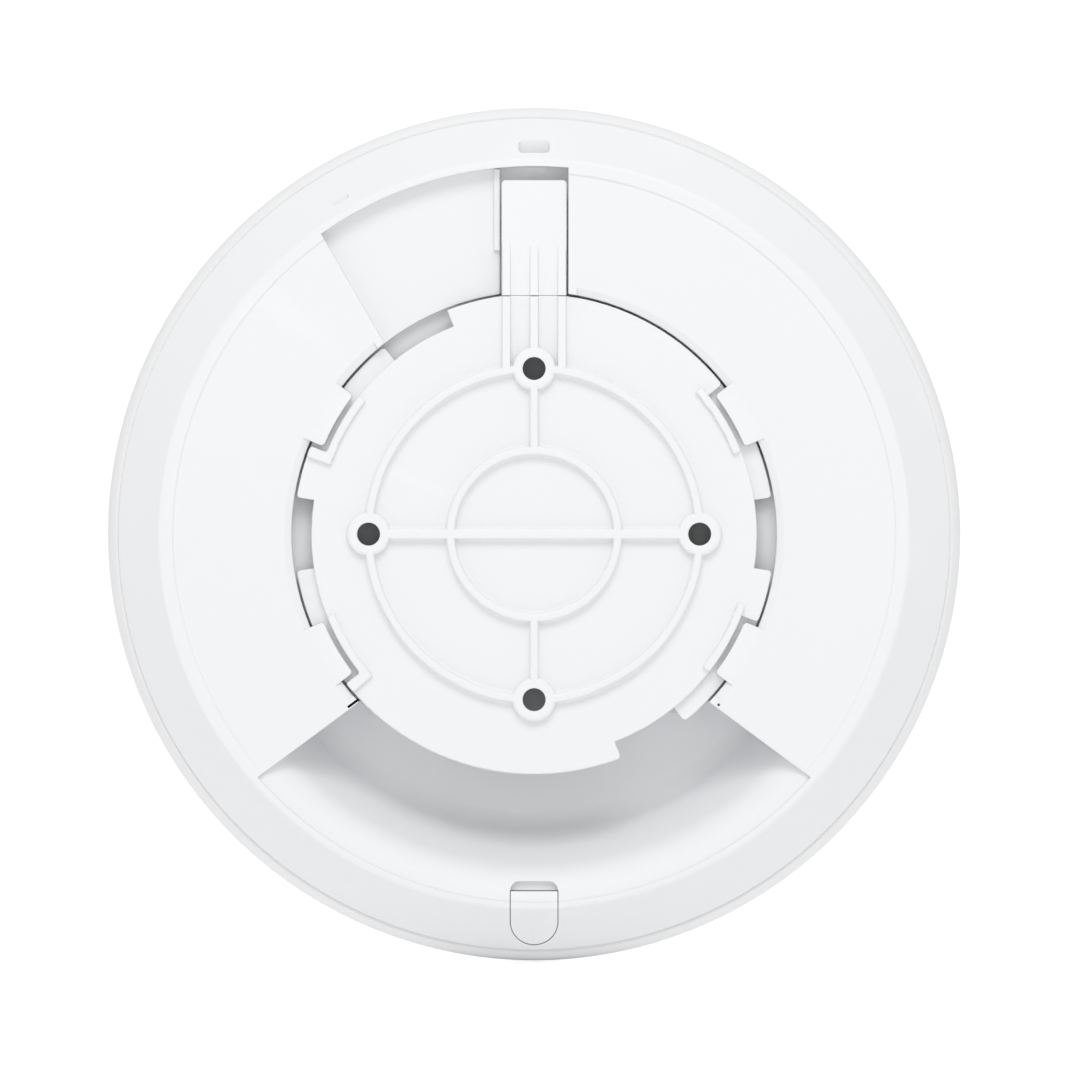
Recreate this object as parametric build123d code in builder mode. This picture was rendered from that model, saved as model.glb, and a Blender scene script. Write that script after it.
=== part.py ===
from build123d import *
import math
import os

# A ceiling access point hanging on its twist-on mounting bracket, in millimetres.
# The origin is the centre of the bracket's screw circle in the ceiling plane. +Z points
# into the ceiling, so the whole object lies below z = 0, and +Y points to the lock tongue.

os.makedirs("parts", exist_ok=True)

# Access point body
body_r = 80.0
body_depth = 33.0
shell = 1.8
crest_z = -0.8
flat_z = -1.1
crest_in_r = 67.6
crest_out_r = 70.0
step_w = 0.25
step_round = 0.08
crest_round = 0.8
seam_round = 0.3
slope_run = 8.25
slope_drop = 9.0
seam_z = crest_z - slope_drop
seam_gap = 0.2
seam_r = crest_out_r + slope_run
lip_r = 76.4
lip_t = 1.4
lip_h = 2.5

# Front dome
rim_z = -14.5
rim_top_r = seam_r + 0.15
dome_inner_r = lip_r + 0.2
shoulder_r = 14.0
dome_wall = 2.0

# Pocket for the bracket in the back cover
pocket_r = 45.3
pocket_z = -6.0
pocket_bevel_w = 1.4
pocket_bevel_h = 0.8
pocket_round = 0.4

# Bayonet: four windows let the lugs in, then the body twists to the end stops
window_angles = (0, 120, 180, 300)
window_half = 8.8
twist = 30.0
lug_half = 7.4
lug_r = 42.6
lug_t = 1.8
stop_half = 8.5
stop_w = 2.7
hook_half = 8.2
raised_stops = (120, 180)

# Bracket
bracket_r = 44.85
plate_z = -1.7
plate_t = 1.6
joggle_in_r = 40.1
joggle_out_r = 41.6
ledge_z = -3.2
ledge_t = 1.4
hook_top_z = -0.7
screw_circle_r = 30.9
screw_hole_r = 2.15
boss_r = 4.0
boss_round = 0.7
inner_ring_r = 15.6
ring_rib_w = 1.45
cross_rib_w = 1.75
long_rib_w = 1.4
rib_draft = 0.15
rib_round = 0.4
rib_foot_round = 0.5
rib_sink = 0.5
plate_edge_round = 0.2
hook_edge_round = 0.3
corner_r = 0.7
hook_corner_r = 0.5

# Lock tongue, a springy arm of the bracket
tongue_half = 6.07
flex_y = 44.56
tongue_tip_y = 66.1
tongue_top_z = -1.9
tongue_t = 1.0
flex_gap = 0.06
flex_rib_gap = 0.16
tongue_rib_w = 1.5
tongue_rib_x = 5.2
rib_fade_y = 54.5

# Slot and sunken sector that the tongue lies in and sweeps through
slot_half = 6.4
sector_r = 68.7
sector_z = -4.0
slot_z = -5.0
catch_w = 1.1
catch_top_z = tongue_top_z - tongue_t - 0.3
catch_start_y = 53.0
catch_end_y = 68.2
floor_t = 1.6

# Release pin hole through the slope, and the alignment mark
pin_w = 5.8
pin_h = 2.5
pin_round = 0.8
pin_r = 72.5
mark_angle = 120
mark_r = 72.2

# Cable recess
recess_y = -33.6
recess_half = 30.0
recess_side = (32.55, -31.27)
recess_slope = 36.6
recess_z = -19.2
recess_knee_r = 54.8
recess_lip_r = 63.2
recess_lip_z = -3.4
recess_edge_z = -1.4
recess_rounds = (4.0, 8.0)
recess_floor_t = 1.5

# Cable door: a cover that lifts out of the slope so that a cable can leave sideways
door_half = 4.4
door_in_y = -66.7
door_out_y = -76.8
door_z = -9.0
door_gap = 0.12
slit_l = 2.4
slit_w = 0.45
slit_depth = 8.0
dimple_r = 0.25
dimple_depth = 1.5
scoop_depth = 1.8
scoop_z = -3.9

# Main board and its fixings
board_top_z = -21.0
board_t = 1.6
board_bottom_z = board_top_z - board_t
board_r = 60.0
board_post_r = 54.0
board_post_angles = (20, 160, 200, 340)
case_post = 25.5
post_r = 3.2

# Network port
port_z = -14.6
port_w = 11.9
port_h = 8.0
port_depth = 14.0
jack_w = 15.6
jack_h = 12.2
jack_len = 20.6
gasket_t = 0.8
shield_t = 0.3
contact_count = 8
contact_pitch = 1.02

# Reset button
reset_x = 15.5
reset_z = -15.5
reset_r = 1.0

# Front light ring
ring_in_r = 31.0
ring_out_r = 33.4
ring_t = 1.0
light_leg_r = 1.2


def save(part, name):
    """Label one finished piece and write it as a STEP file of the same name."""
    part.label = name
    export_step(part, f"parts/{name}.step")


def polar(radius, angle):
    """Point on a circle about the origin."""
    return (radius * math.cos(math.radians(angle)), radius * math.sin(math.radians(angle)))


def slope_z(radius):
    """Height of the slope's outer face at a radius."""
    return crest_z - (radius - crest_out_r) * slope_drop / slope_run


def ring_sector(inner, outer, start, end):
    """Flat face between two radii, from one angle to another."""
    with BuildSketch() as sector:
        with BuildLine():
            outer_arc = CenterArc((0, 0), outer, start, end - start)
            inner_arc = CenterArc((0, 0), inner, start, end - start)
            Line(outer_arc @ 0, inner_arc @ 0)
            Line(outer_arc @ 1, inner_arc @ 1)
        make_face()
    return sector.sketch


def dome_section(radius, shoulder, bottom):
    """Half section of a solid dome: a tangent shoulder arc and a shallow face arc."""
    centre_r = radius - shoulder
    face_rise = rim_z - bottom
    turn = 2 * math.atan((face_rise - shoulder) / centre_r)
    join = (centre_r + shoulder * math.sin(turn), rim_z - shoulder * math.cos(turn))
    with BuildSketch(Plane.XZ) as section:
        with BuildLine():
            side = Line((radius, seam_z - seam_gap), (radius, rim_z))
            TangentArc(side @ 1, join, tangent=(0, -1))
            TangentArc((0, bottom), join, tangent=(1, 0))
            Line((0, bottom), (0, seam_z - seam_gap))
            Line((0, seam_z - seam_gap), side @ 0)
        make_face()
    return section.sketch


def face_z(radius):
    """Height of the dome's outer face near its middle, where the face arc applies."""
    centre_r = body_r - shoulder_r
    turn = 2 * math.atan((rim_z + body_depth - shoulder_r) / centre_r)
    face_r = (centre_r + shoulder_r * math.sin(turn)) / math.sin(turn)
    return -body_depth + face_r - math.sqrt(face_r**2 - radius**2)


def cover_envelope(bottom):
    """Half section of everything under the back cover's outer line, down to a level."""
    with BuildSketch(Plane.XZ) as section:
        with BuildLine():
            top = FilletPolyline(
                (0, flat_z),
                (crest_in_r - step_w, flat_z),
                (crest_in_r, crest_z),
                (crest_out_r, crest_z),
                (seam_r, seam_z),
                (seam_r, bottom),
                radius=[step_round, step_round, crest_round, seam_round],
            )
            Polyline(top @ 1, (0, bottom), top @ 0)
        make_face()
    return section.sketch


def bowl_section(shift_r=0.0, shift_z=0.0):
    """Half section of the space above the cable recess's floor, which rises to the crest."""
    floor = recess_z + shift_z
    top = 5.0
    with BuildSketch(Plane.XZ) as section:
        with BuildLine():
            rise = FilletPolyline(
                (20, floor),
                (recess_knee_r + shift_r, floor),
                (recess_lip_r + shift_r, recess_lip_z + shift_z),
                (sector_r + shift_r, recess_edge_z + shift_z),
                radius=list(recess_rounds),
            )
            Polyline(rise @ 1, (sector_r + shift_r, top), (20, top), rise @ 0)
        make_face()
    return section.sketch


def recess_plan(growth=0.0):
    """Plan of the cable recess between its two straight side walls."""
    reach = 45.0
    side_x, side_y = recess_side
    far_x = side_x + reach * math.cos(math.radians(recess_slope))
    far_y = side_y - reach * math.sin(math.radians(recess_slope))
    with BuildSketch() as plan:
        with BuildLine():
            right = Polyline((recess_half, recess_y), recess_side, (far_x, far_y), (far_x, -90))
            left = Polyline((-recess_half, recess_y), (-side_x, side_y), (-far_x, far_y), (-far_x, -90))
            Line(right @ 0, left @ 0)
            Line(right @ 1, left @ 1)
        make_face()
        if growth:
            offset(amount=growth)
        Circle(sector_r + growth, mode=Mode.INTERSECT)
    return plan.sketch


def sector_plan(growth=0.0):
    """Plan of the sunken sector, from the slot to the tongue's place before the twist."""
    along = Vector(*polar(1, 90 + twist))
    across = Vector(*polar(1, 180 + twist))
    near = along * 36 + across * slot_half
    far = along * 86 + across * slot_half
    with BuildSketch() as plan:
        with BuildLine():
            Polyline(
                (slot_half, 36),
                (slot_half, 90),
                (far.X, 90),
                (far.X, far.Y),
                (near.X, near.Y),
                close=True,
            )
        make_face()
        if growth:
            offset(amount=growth)
        Circle(sector_r + growth, mode=Mode.INTERSECT)
        Circle(pocket_r - 1, mode=Mode.SUBTRACT)
    return plan.sketch


def door_plan(growth=0.0):
    """Plan of the cable door: straight inner edge, round outer end."""
    half = door_half + growth
    straight_y = door_out_y + door_half
    with BuildSketch() as plan:
        with Locations((0, straight_y)):
            Circle(half)
            Rectangle(2 * half, door_in_y + growth - straight_y, align=(Align.CENTER, Align.MIN))
    return plan.sketch


def rib_section(plane, centre, width):
    """One rib's section: drafted sides, rounded top, hollow-rounded foot."""
    half = width / 2
    spread = half + 1.5
    with BuildSketch(plane) as section:
        with BuildLine():
            crown = FilletPolyline(
                (centre - spread, plate_z),
                (centre - half - rib_draft, plate_z),
                (centre - half, 0),
                (centre + half, 0),
                (centre + half + rib_draft, plate_z),
                (centre + spread, plate_z),
                radius=[rib_foot_round, rib_round, rib_round, rib_foot_round],
            )
            foot_z = plate_z - rib_sink
            Polyline(crown @ 1, (centre + spread, foot_z), (centre - spread, foot_z), crown @ 0)
        make_face()
    return section.sketch


def straight_rib(length, width):
    """Rib along X, centred on the origin."""
    with BuildPart() as rib:
        add(rib_section(Plane.YZ.offset(-length / 2), 0, width))
        extrude(amount=length, dir=(1, 0, 0))
    return rib.part


def ring_rib(radius):
    """Rib round a circle about the origin."""
    with BuildPart() as rib:
        add(rib_section(Plane.XZ, radius, ring_rib_w))
        revolve(axis=Axis.Z)
    return rib.part


def screw_boss():
    """Round drafted boss at the origin, with a rounded top edge."""
    foot_z = plate_z - rib_sink
    with BuildPart() as boss:
        with BuildSketch(Plane.XZ):
            with BuildLine():
                side = FilletPolyline((0, 0), (boss_r, 0), (boss_r + rib_draft, foot_z), radius=boss_round)
                Polyline(side @ 1, (0, foot_z), side @ 0)
            make_face()
        revolve(axis=Axis.Z)
    return boss.part


# Mounting bracket
home_angles = [angle + twist for angle in window_angles]

# Each hook wall joins a ledge to the plate. Two of them turn outwards as raised end stops.
with BuildPart() as hooks:
    with BuildSketch(Plane.XY.offset(ledge_z - ledge_t)) as hook_plan:
        for angle in window_angles:
            home = angle + twist
            stop_end = home + stop_half + stop_w
            add(ring_sector(joggle_in_r, joggle_out_r, home - hook_half, stop_end))
            if angle in raised_stops:
                add(ring_sector(joggle_in_r, bracket_r, home + stop_half, stop_end))
        outer_corners = hook_plan.vertices().filter_by(lambda v: math.hypot(v.X, v.Y) > joggle_in_r + 0.1)
        fillet(outer_corners, radius=hook_corner_r)
    extrude(amount=hook_top_z - ledge_z + ledge_t)
    fillet(hooks.edges().group_by(Axis.Z)[-1], radius=hook_edge_round)

with BuildPart() as mounting_bracket:
    # The plate reaches its full radius except over the windows and the low ledges.
    with BuildSketch(Plane.XY.offset(plate_z - plate_t)) as plate:
        Circle(bracket_r)
        for angle in window_angles:
            gap = ring_sector(joggle_out_r, bracket_r + 1, angle - window_half, angle + twist + stop_half)
            add(gap, mode=Mode.SUBTRACT)
        with Locations((0, flex_y - flex_gap)):
            Rectangle(2.2 * slot_half, 5, align=(Align.CENTER, Align.MIN), mode=Mode.SUBTRACT)
        rim_corners = plate.vertices().filter_by(lambda v: abs(math.hypot(v.X, v.Y) - bracket_r) < 0.01)
        fillet(rim_corners.filter_by(lambda v: v.Y < 40), radius=corner_r)
    extrude(amount=plate_t)
    fillet(mounting_bracket.edges().group_by(Axis.Z)[-1], radius=plate_edge_round)
    # Low ledges slide under the body's lugs.
    with BuildSketch(Plane.XY.offset(ledge_z - ledge_t)) as ledges:
        for angle in window_angles:
            add(ring_sector(joggle_in_r, bracket_r, angle + window_half, angle + twist + stop_half + stop_w))
        rim_corners = ledges.vertices().filter_by(lambda v: math.hypot(v.X, v.Y) > bracket_r - 0.1)
        fillet(rim_corners, radius=corner_r)
    extrude(amount=ledge_t)
    # The joggle wall drops from the plate to each ledge.
    with BuildSketch(Plane.XY.offset(ledge_z - ledge_t)):
        for angle in window_angles:
            add(ring_sector(joggle_in_r, joggle_out_r, angle + window_half, angle + twist + stop_half))
    extrude(amount=plate_z - ledge_z + ledge_t - plate_edge_round)
    add(hooks.part)
    for radius in (inner_ring_r, screw_circle_r):
        add(ring_rib(radius))
    add(straight_rib(2 * screw_circle_r, cross_rib_w))
    add(straight_rib(2 * screw_circle_r, long_rib_w), rotation=(0, 0, 90))
    # Three ribs run out onto the tongue and taper to nothing there.
    for rib_x in (-tongue_rib_x, 0, tongue_rib_x):
        with BuildSketch(Plane.YZ.offset(rib_x - tongue_rib_w / 2)):
            taper = -tongue_top_z / (rib_fade_y - screw_circle_r)
            end_y = flex_y - flex_rib_gap
            with BuildLine():
                Polyline(
                    (screw_circle_r, plate_z - plate_t / 2),
                    (screw_circle_r, 0),
                    (end_y, -taper * (end_y - screw_circle_r)),
                    (end_y, plate_z - plate_t / 2),
                    close=True,
                )
            make_face()
        extrude(amount=tongue_rib_w)
    with PolarLocations(screw_circle_r, 4):
        add(screw_boss())
        Hole(radius=screw_hole_r)
save(mounting_bracket.part, "mounting_bracket")

# Lock tongue
with BuildPart() as lock_tongue:
    with BuildSketch(Plane.XY.offset(tongue_top_z - tongue_t)) as arm:
        with Locations((0, flex_y)):
            Rectangle(2 * tongue_half, tongue_tip_y - flex_y, align=(Align.CENTER, Align.MIN))
        fillet(arm.vertices().group_by(Axis.Y)[-1], radius=0.8)
    extrude(amount=tongue_t)
    # The release pin slides in under the bevelled tip.
    tip_edge = lock_tongue.faces().sort_by(Axis.Z)[0].edges().sort_by(Axis.Y)[-1]
    chamfer(tip_edge, length=0.6)
    for rib_x in (-tongue_rib_x, 0, tongue_rib_x):
        with BuildSketch(Plane.YZ.offset(rib_x - tongue_rib_w / 2)):
            with BuildLine():
                Polyline(
                    (flex_y, tongue_top_z - tongue_t / 2),
                    (flex_y, tongue_top_z + (rib_fade_y - flex_y) * taper),
                    (rib_fade_y, tongue_top_z),
                    (rib_fade_y, tongue_top_z - tongue_t / 2),
                    close=True,
                )
            make_face()
        extrude(amount=tongue_rib_w)
save(lock_tongue.part, "lock_tongue")

# Solid blocks and voids that shape the back cover
with BuildPart() as recess_block:
    with BuildSketch(Plane.XY.offset(recess_z - recess_floor_t)):
        add(recess_plan(floor_t))
    extrude(amount=crest_z - recess_z + recess_floor_t)
    add(cover_envelope(board_top_z))
    revolve(axis=Axis.Z, mode=Mode.INTERSECT)
    add(bowl_section(recess_floor_t * 0.8, -recess_floor_t))
    revolve(axis=Axis.Z, mode=Mode.INTERSECT)

with BuildPart() as recess_void:
    with BuildSketch(Plane.XY.offset(recess_z - 1)):
        add(recess_plan())
    extrude(amount=5 - recess_z)
    add(bowl_section())
    revolve(axis=Axis.Z, mode=Mode.INTERSECT)

with BuildPart() as tongue_block:
    with BuildSketch(Plane.XY.offset(sector_z - floor_t)):
        add(sector_plan(floor_t))
    extrude(amount=crest_z - sector_z + floor_t)
    with BuildSketch(Plane.XY.offset(slot_z - floor_t)):
        with Locations((0, pocket_r)):
            Rectangle(2 * slot_half + 2 * floor_t, 28, align=(Align.CENTER, Align.MIN))
    extrude(amount=crest_z - slot_z + floor_t)
    add(cover_envelope(board_top_z))
    revolve(axis=Axis.Z, mode=Mode.INTERSECT)

with BuildPart() as door_block:
    with BuildSketch(Plane.XY.offset(door_z - floor_t)):
        add(door_plan(floor_t))
        Circle(lip_r, mode=Mode.INTERSECT)
    extrude(amount=crest_z - door_z + floor_t)
    add(cover_envelope(board_top_z))
    revolve(axis=Axis.Z, mode=Mode.INTERSECT)

# Back cover
slope_shift = shell / math.sin(math.atan2(slope_drop, slope_run))
under_z = flat_z - shell
inner_slope_r = crest_out_r + (crest_z - under_z) * slope_run / slope_drop - slope_shift
lip_in_r = lip_r - lip_t

with BuildPart() as back_cover:
    with BuildSketch(Plane.XZ):
        with BuildLine():
            top = FilletPolyline(
                (pocket_r, pocket_z),
                (pocket_r, flat_z - pocket_bevel_h),
                (pocket_r + pocket_bevel_w, flat_z),
                (crest_in_r - step_w, flat_z),
                (crest_in_r, crest_z),
                (crest_out_r, crest_z),
                (seam_r, seam_z),
                (lip_r, seam_z),
                radius=[pocket_round, pocket_round, step_round, step_round, crest_round, seam_round],
            )
            Polyline(
                top @ 1,
                (lip_r, seam_z - lip_h),
                (lip_in_r, seam_z - lip_h),
                (lip_in_r, slope_z(lip_in_r + slope_shift)),
                (inner_slope_r, under_z),
                (pocket_r + shell, under_z),
                (pocket_r + shell, pocket_z - shell),
                (0, pocket_z - shell),
                (0, pocket_z),
                top @ 0,
            )
        make_face()
    revolve(axis=Axis.Z)
    add(recess_block.part)
    add(tongue_block.part)
    add(door_block.part)
    # Clear the pocket, then sink the recess, the sector and the slot into the flat back.
    with BuildSketch(Plane.XY.offset(pocket_z)):
        Circle(pocket_r)
    extrude(amount=-pocket_z + 5, mode=Mode.SUBTRACT)
    add(recess_void.part, mode=Mode.SUBTRACT)
    with BuildSketch(Plane.XY.offset(sector_z)):
        add(sector_plan())
    extrude(amount=-sector_z + 1, mode=Mode.SUBTRACT)
    with BuildSketch(Plane.XY.offset(slot_z)):
        with Locations((0, pocket_r - 1)):
            Rectangle(2 * slot_half, 40, align=(Align.CENTER, Align.MIN))
        Circle(sector_r, mode=Mode.INTERSECT)
    extrude(amount=-slot_z + 1, mode=Mode.SUBTRACT)
    # Release pin hole, from the slope to the end of the slot
    with BuildSketch(Plane.XZ.offset(-body_r)):
        with Locations((0, slope_z(pin_r))):
            RectangleRounded(pin_w, pin_h, pin_round)
    extrude(amount=body_r - sector_r + 1, mode=Mode.SUBTRACT)
    # Alignment mark where the tongue stands before the twist
    with Locations(Location((*polar(mark_r, mark_angle), slope_z(mark_r)), (0, 0, mark_angle))):
        Box(0.7, 3.0, 0.7, mode=Mode.SUBTRACT)
    # Catch rib beside the slot
    with BuildSketch(Plane.XY.offset(sector_z - 0.5)):
        with Locations((-slot_half - catch_w / 2, catch_start_y)):
            Rectangle(catch_w, catch_end_y - catch_start_y, align=(Align.CENTER, Align.MIN))
    extrude(amount=catch_top_z - sector_z + 0.5)
    # Lugs stand inwards over the pocket, one beyond each window.
    with BuildSketch(Plane.XY.offset(under_z)) as lugs:
        for home in home_angles:
            add(ring_sector(lug_r, pocket_r + pocket_bevel_w, home - lug_half, home + lug_half))
        fillet(lugs.vertices().filter_by(lambda v: math.hypot(v.X, v.Y) < lug_r + 0.1), radius=corner_r)
    extrude(amount=lug_t)
    # Cable door opening, with a finger scoop at its inner edge
    with BuildSketch(Plane.XY.offset(door_z - door_gap)):
        add(door_plan(door_gap))
    extrude(amount=-door_z + 1, mode=Mode.SUBTRACT)
    with BuildSketch(Plane.XY.offset(scoop_z)) as scoop:
        with Locations((0, door_in_y)):
            Rectangle(2 * door_half, 2 * scoop_depth)
        fillet(scoop.vertices().group_by(Axis.Y)[-1], radius=scoop_depth * 0.9)
    extrude(amount=-scoop_z + 1, mode=Mode.SUBTRACT)
    # Small vent slit and moulding dimple at the recess's inner corners
    slit_x, slit_y = recess_side
    with Locations(Location((-slit_x - 1.25, slit_y - 0.35, flat_z), (0, 0, recess_slope))):
        Box(slit_l, slit_w, 2 * slit_depth, mode=Mode.SUBTRACT)
    with Locations((slit_x + 1.9, slit_y - 0.6, flat_z)):
        Cylinder(dimple_r, 2 * dimple_depth, mode=Mode.SUBTRACT)
    # Posts for the main board
    with BuildSketch(Plane.XY.offset(under_z + 0.5)):
        for angle in board_post_angles:
            with Locations(polar(board_post_r, angle)):
                Circle(post_r)
    extrude(amount=board_top_z + 0.05 - under_z - 0.5)
    with BuildSketch(Plane.XY.offset(board_top_z)):
        for angle in board_post_angles:
            with Locations(polar(board_post_r, angle)):
                Circle(1.0)
    extrude(amount=8, mode=Mode.SUBTRACT)
    # Bosses that take the case screws' heads
    with BuildSketch(Plane.XY.offset(pocket_z - shell + 0.5)):
        with GridLocations(2 * case_post, 2 * case_post, 2, 2):
            Circle(post_r + 1.2)
    extrude(amount=-3.7)
    with Locations((0, 0, pocket_z)):
        with GridLocations(2 * case_post, 2 * case_post, 2, 2):
            CounterBoreHole(radius=1.45, counter_bore_radius=2.8, counter_bore_depth=2.2, depth=8)
    # Port window and reset hole in the recess's inner wall
    with BuildSketch(Plane.XZ.offset(-recess_y - 4)):
        with Locations((0, port_z + 0.5)):
            Rectangle(port_w + 1, port_h + 2)
        with Locations((reset_x, reset_z)):
            Circle(reset_r + 0.08)
    extrude(amount=5, mode=Mode.SUBTRACT)
save(back_cover.part, "back_cover")

# Cable door: the piece of slope, crest and recess lip inside the opening
with BuildPart() as cable_door:
    with BuildSketch(Plane.XY.offset(door_z)):
        add(door_plan())
    extrude(amount=-door_z)
    add(cover_envelope(board_top_z))
    revolve(axis=Axis.Z, mode=Mode.INTERSECT)
    add(recess_void.part, mode=Mode.SUBTRACT)
    with BuildSketch(Plane.XY.offset(door_z)):
        with Locations((0, door_in_y - 3.6)):
            Rectangle(2 * door_half - 3, 4.0)
    extrude(amount=4.5, mode=Mode.SUBTRACT)
save(cable_door.part, "cable_door")

# Front dome with posts for the case screws and a groove for the light ring
with BuildPart() as front_dome:
    add(dome_section(body_r, shoulder_r, -body_depth))
    revolve(axis=Axis.Z)
    # The rim's upper edge curves in to meet the slope.
    with BuildSketch(Plane.XZ):
        with BuildLine():
            rim = TangentArc((body_r, rim_z), (rim_top_r, seam_z - seam_gap), tangent=(0, 1))
            Polyline(rim @ 1, (body_r + 1, seam_z - seam_gap), (body_r + 1, rim_z), rim @ 0)
        make_face()
    revolve(axis=Axis.Z, mode=Mode.SUBTRACT)
    add(dome_section(dome_inner_r, shoulder_r - dome_wall, -body_depth + dome_wall))
    revolve(axis=Axis.Z, mode=Mode.SUBTRACT)
    with BuildSketch(Plane.XZ):
        with BuildLine():
            Polyline(
                (ring_in_r, -body_depth - 1),
                (ring_in_r, face_z(ring_in_r) + ring_t),
                (ring_out_r, face_z(ring_out_r) + ring_t),
                (ring_out_r, -body_depth - 1),
                close=True,
            )
        make_face()
    revolve(axis=Axis.Z, mode=Mode.SUBTRACT)
    with BuildSketch(Plane.XY.offset(face_z(case_post * math.sqrt(2)) + dome_wall / 2)):
        with GridLocations(2 * case_post, 2 * case_post, 2, 2):
            Circle(post_r)
    post_top_z = pocket_z - shell - 3.3
    extrude(amount=post_top_z - face_z(case_post * math.sqrt(2)) - dome_wall / 2)
    with BuildSketch(Plane.XY.offset(post_top_z)):
        with GridLocations(2 * case_post, 2 * case_post, 2, 2):
            Circle(1.2)
    extrude(amount=-11, mode=Mode.SUBTRACT)
    with BuildSketch(Plane.XY.offset(-body_depth - 1)):
        with PolarLocations((ring_in_r + ring_out_r) / 2, 4):
            Circle(light_leg_r + 0.1)
    extrude(amount=6, mode=Mode.SUBTRACT)
save(front_dome.part, "front_dome")

# Light ring, flush with the dome's face, with four legs that reach the status lights
ring_gap = 0.05
led_z = board_bottom_z - 0.9

with BuildPart() as led_ring_diffuser:
    inner, outer = ring_in_r + ring_gap, ring_out_r - ring_gap
    with BuildSketch(Plane.XZ):
        with BuildLine():
            Polyline(
                (inner, face_z(inner)),
                (inner, face_z(inner) + ring_t - ring_gap),
                (outer, face_z(outer) + ring_t - ring_gap),
                (outer, face_z(outer)),
                close=True,
            )
        make_face()
    revolve(axis=Axis.Z)
    with BuildSketch(Plane.XY.offset(led_z - 0.3)):
        with PolarLocations((ring_in_r + ring_out_r) / 2, 4):
            Circle(light_leg_r)
    extrude(amount=face_z(ring_out_r) - led_z + 0.8)
save(led_ring_diffuser.part, "led_ring_diffuser")

# Main board
with BuildPart() as main_board:
    with BuildSketch(Plane.XY.offset(board_bottom_z)):
        Circle(board_r)
        with GridLocations(2 * case_post, 2 * case_post, 2, 2):
            Circle(post_r + 0.8, mode=Mode.SUBTRACT)
        for angle in board_post_angles:
            with Locations(polar(board_post_r, angle)):
                Circle(1.3, mode=Mode.SUBTRACT)
    extrude(amount=board_t)
save(main_board.part, "main_board")


def pan_head_screws(places, head_top, head_r, head_h, shank_r, shank_len, up):
    """Screws as separate solids; up is +1 when the shank rises from the head, else -1."""
    with BuildPart() as screws:
        for place in places:
            with BuildSketch(Plane.XY.offset(head_top)):
                with Locations(place):
                    Circle(head_r)
            extrude(amount=up * head_h)
            with BuildSketch(Plane.XY.offset(head_top + up * head_h)):
                with Locations(place):
                    Circle(shank_r)
            extrude(amount=up * shank_len)
            with BuildSketch(Plane.XY.offset(head_top)):
                with Locations(place):
                    Rectangle(2.6 * shank_r, 0.5)
                    Rectangle(0.5, 2.6 * shank_r)
            extrude(amount=up * head_h * 0.6, mode=Mode.SUBTRACT)
    return screws.part


board_places = [polar(board_post_r, angle) for angle in board_post_angles]
case_places = [(x, y) for x in (-case_post, case_post) for y in (-case_post, case_post)]
save(pan_head_screws(board_places, board_bottom_z - 1.4, 2.2, 1.4, 0.98, 8.5, 1), "board_screws")
save(pan_head_screws(case_places, pocket_z - 0.6, 2.4, 1.6, 1.18, 12.0, -1), "case_screws")

# Blank rating label on the pocket floor
label_t = 0.15
with BuildPart() as rating_label:
    with BuildSketch(Plane.XY.offset(pocket_z)):
        Circle(33.1)
        with Locations((0, recess_y + 0.4)):
            Rectangle(80, 20, align=(Align.CENTER, Align.MAX), mode=Mode.SUBTRACT)
    extrude(amount=label_t)
save(rating_label.part, "rating_label")

# Network port: gasket, housing, metal shield and spring contacts, in line with the window
gasket_y = recess_y + floor_t
jack_y = gasket_y + gasket_t
jack_mid_z = board_top_z + 0.1 + jack_h / 2

with BuildPart() as port_gasket:
    with BuildSketch(Plane.XZ.offset(-jack_y)):
        with Locations((0, jack_mid_z)):
            Rectangle(jack_w, jack_h)
        with Locations((0, port_z + 0.5)):
            Rectangle(port_w + 1, port_h + 2, mode=Mode.SUBTRACT)
    extrude(amount=gasket_t - 0.05)
save(port_gasket.part, "port_gasket")

with BuildPart() as ethernet_jack_housing:
    with BuildSketch(Plane.XZ.offset(-jack_y)):
        with Locations((0, jack_mid_z)):
            Rectangle(jack_w, jack_h)
    extrude(amount=-jack_len)
    with BuildSketch(Plane.XZ.offset(-jack_y)):
        with Locations((0, port_z)):
            Rectangle(port_w, port_h)
        # The plug's latch runs in a narrower slot above the plug.
        with Locations((0, port_z + port_h / 2)):
            Rectangle(6.2, 1.5, align=(Align.CENTER, Align.MIN))
    extrude(amount=-port_depth, mode=Mode.SUBTRACT)
    # Cavity behind the port's floor where the contacts stand
    with BuildSketch(Plane.YZ.offset(-contact_pitch * contact_count / 2)):
        with Locations((jack_y + port_depth - 5, port_z - port_h / 2)):
            Rectangle(8, 1.0, align=(Align.CENTER, Align.MAX))
    extrude(amount=contact_pitch * contact_count, mode=Mode.SUBTRACT)
save(ethernet_jack_housing.part, "ethernet_jack_housing")

with BuildPart() as ethernet_jack_contacts:
    first_x = -contact_pitch * (contact_count - 1) / 2
    contact_w = 0.45
    root_y = jack_y + port_depth - 1.4
    floor_z = port_z - port_h / 2 - 0.8
    for number in range(contact_count):
        contact_x = first_x + number * contact_pitch - contact_w / 2
        with BuildSketch(Plane.YZ.offset(contact_x)):
            with BuildLine():
                Polyline(
                    (root_y, floor_z),
                    (root_y, floor_z + 0.35),
                    (root_y - 5.6, floor_z + 3.3),
                    (root_y - 5.8, floor_z + 3.0),
                    (root_y - 0.6, floor_z),
                    close=True,
                )
            make_face()
        extrude(amount=contact_w)
save(ethernet_jack_contacts.part, "ethernet_jack_contacts")

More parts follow.
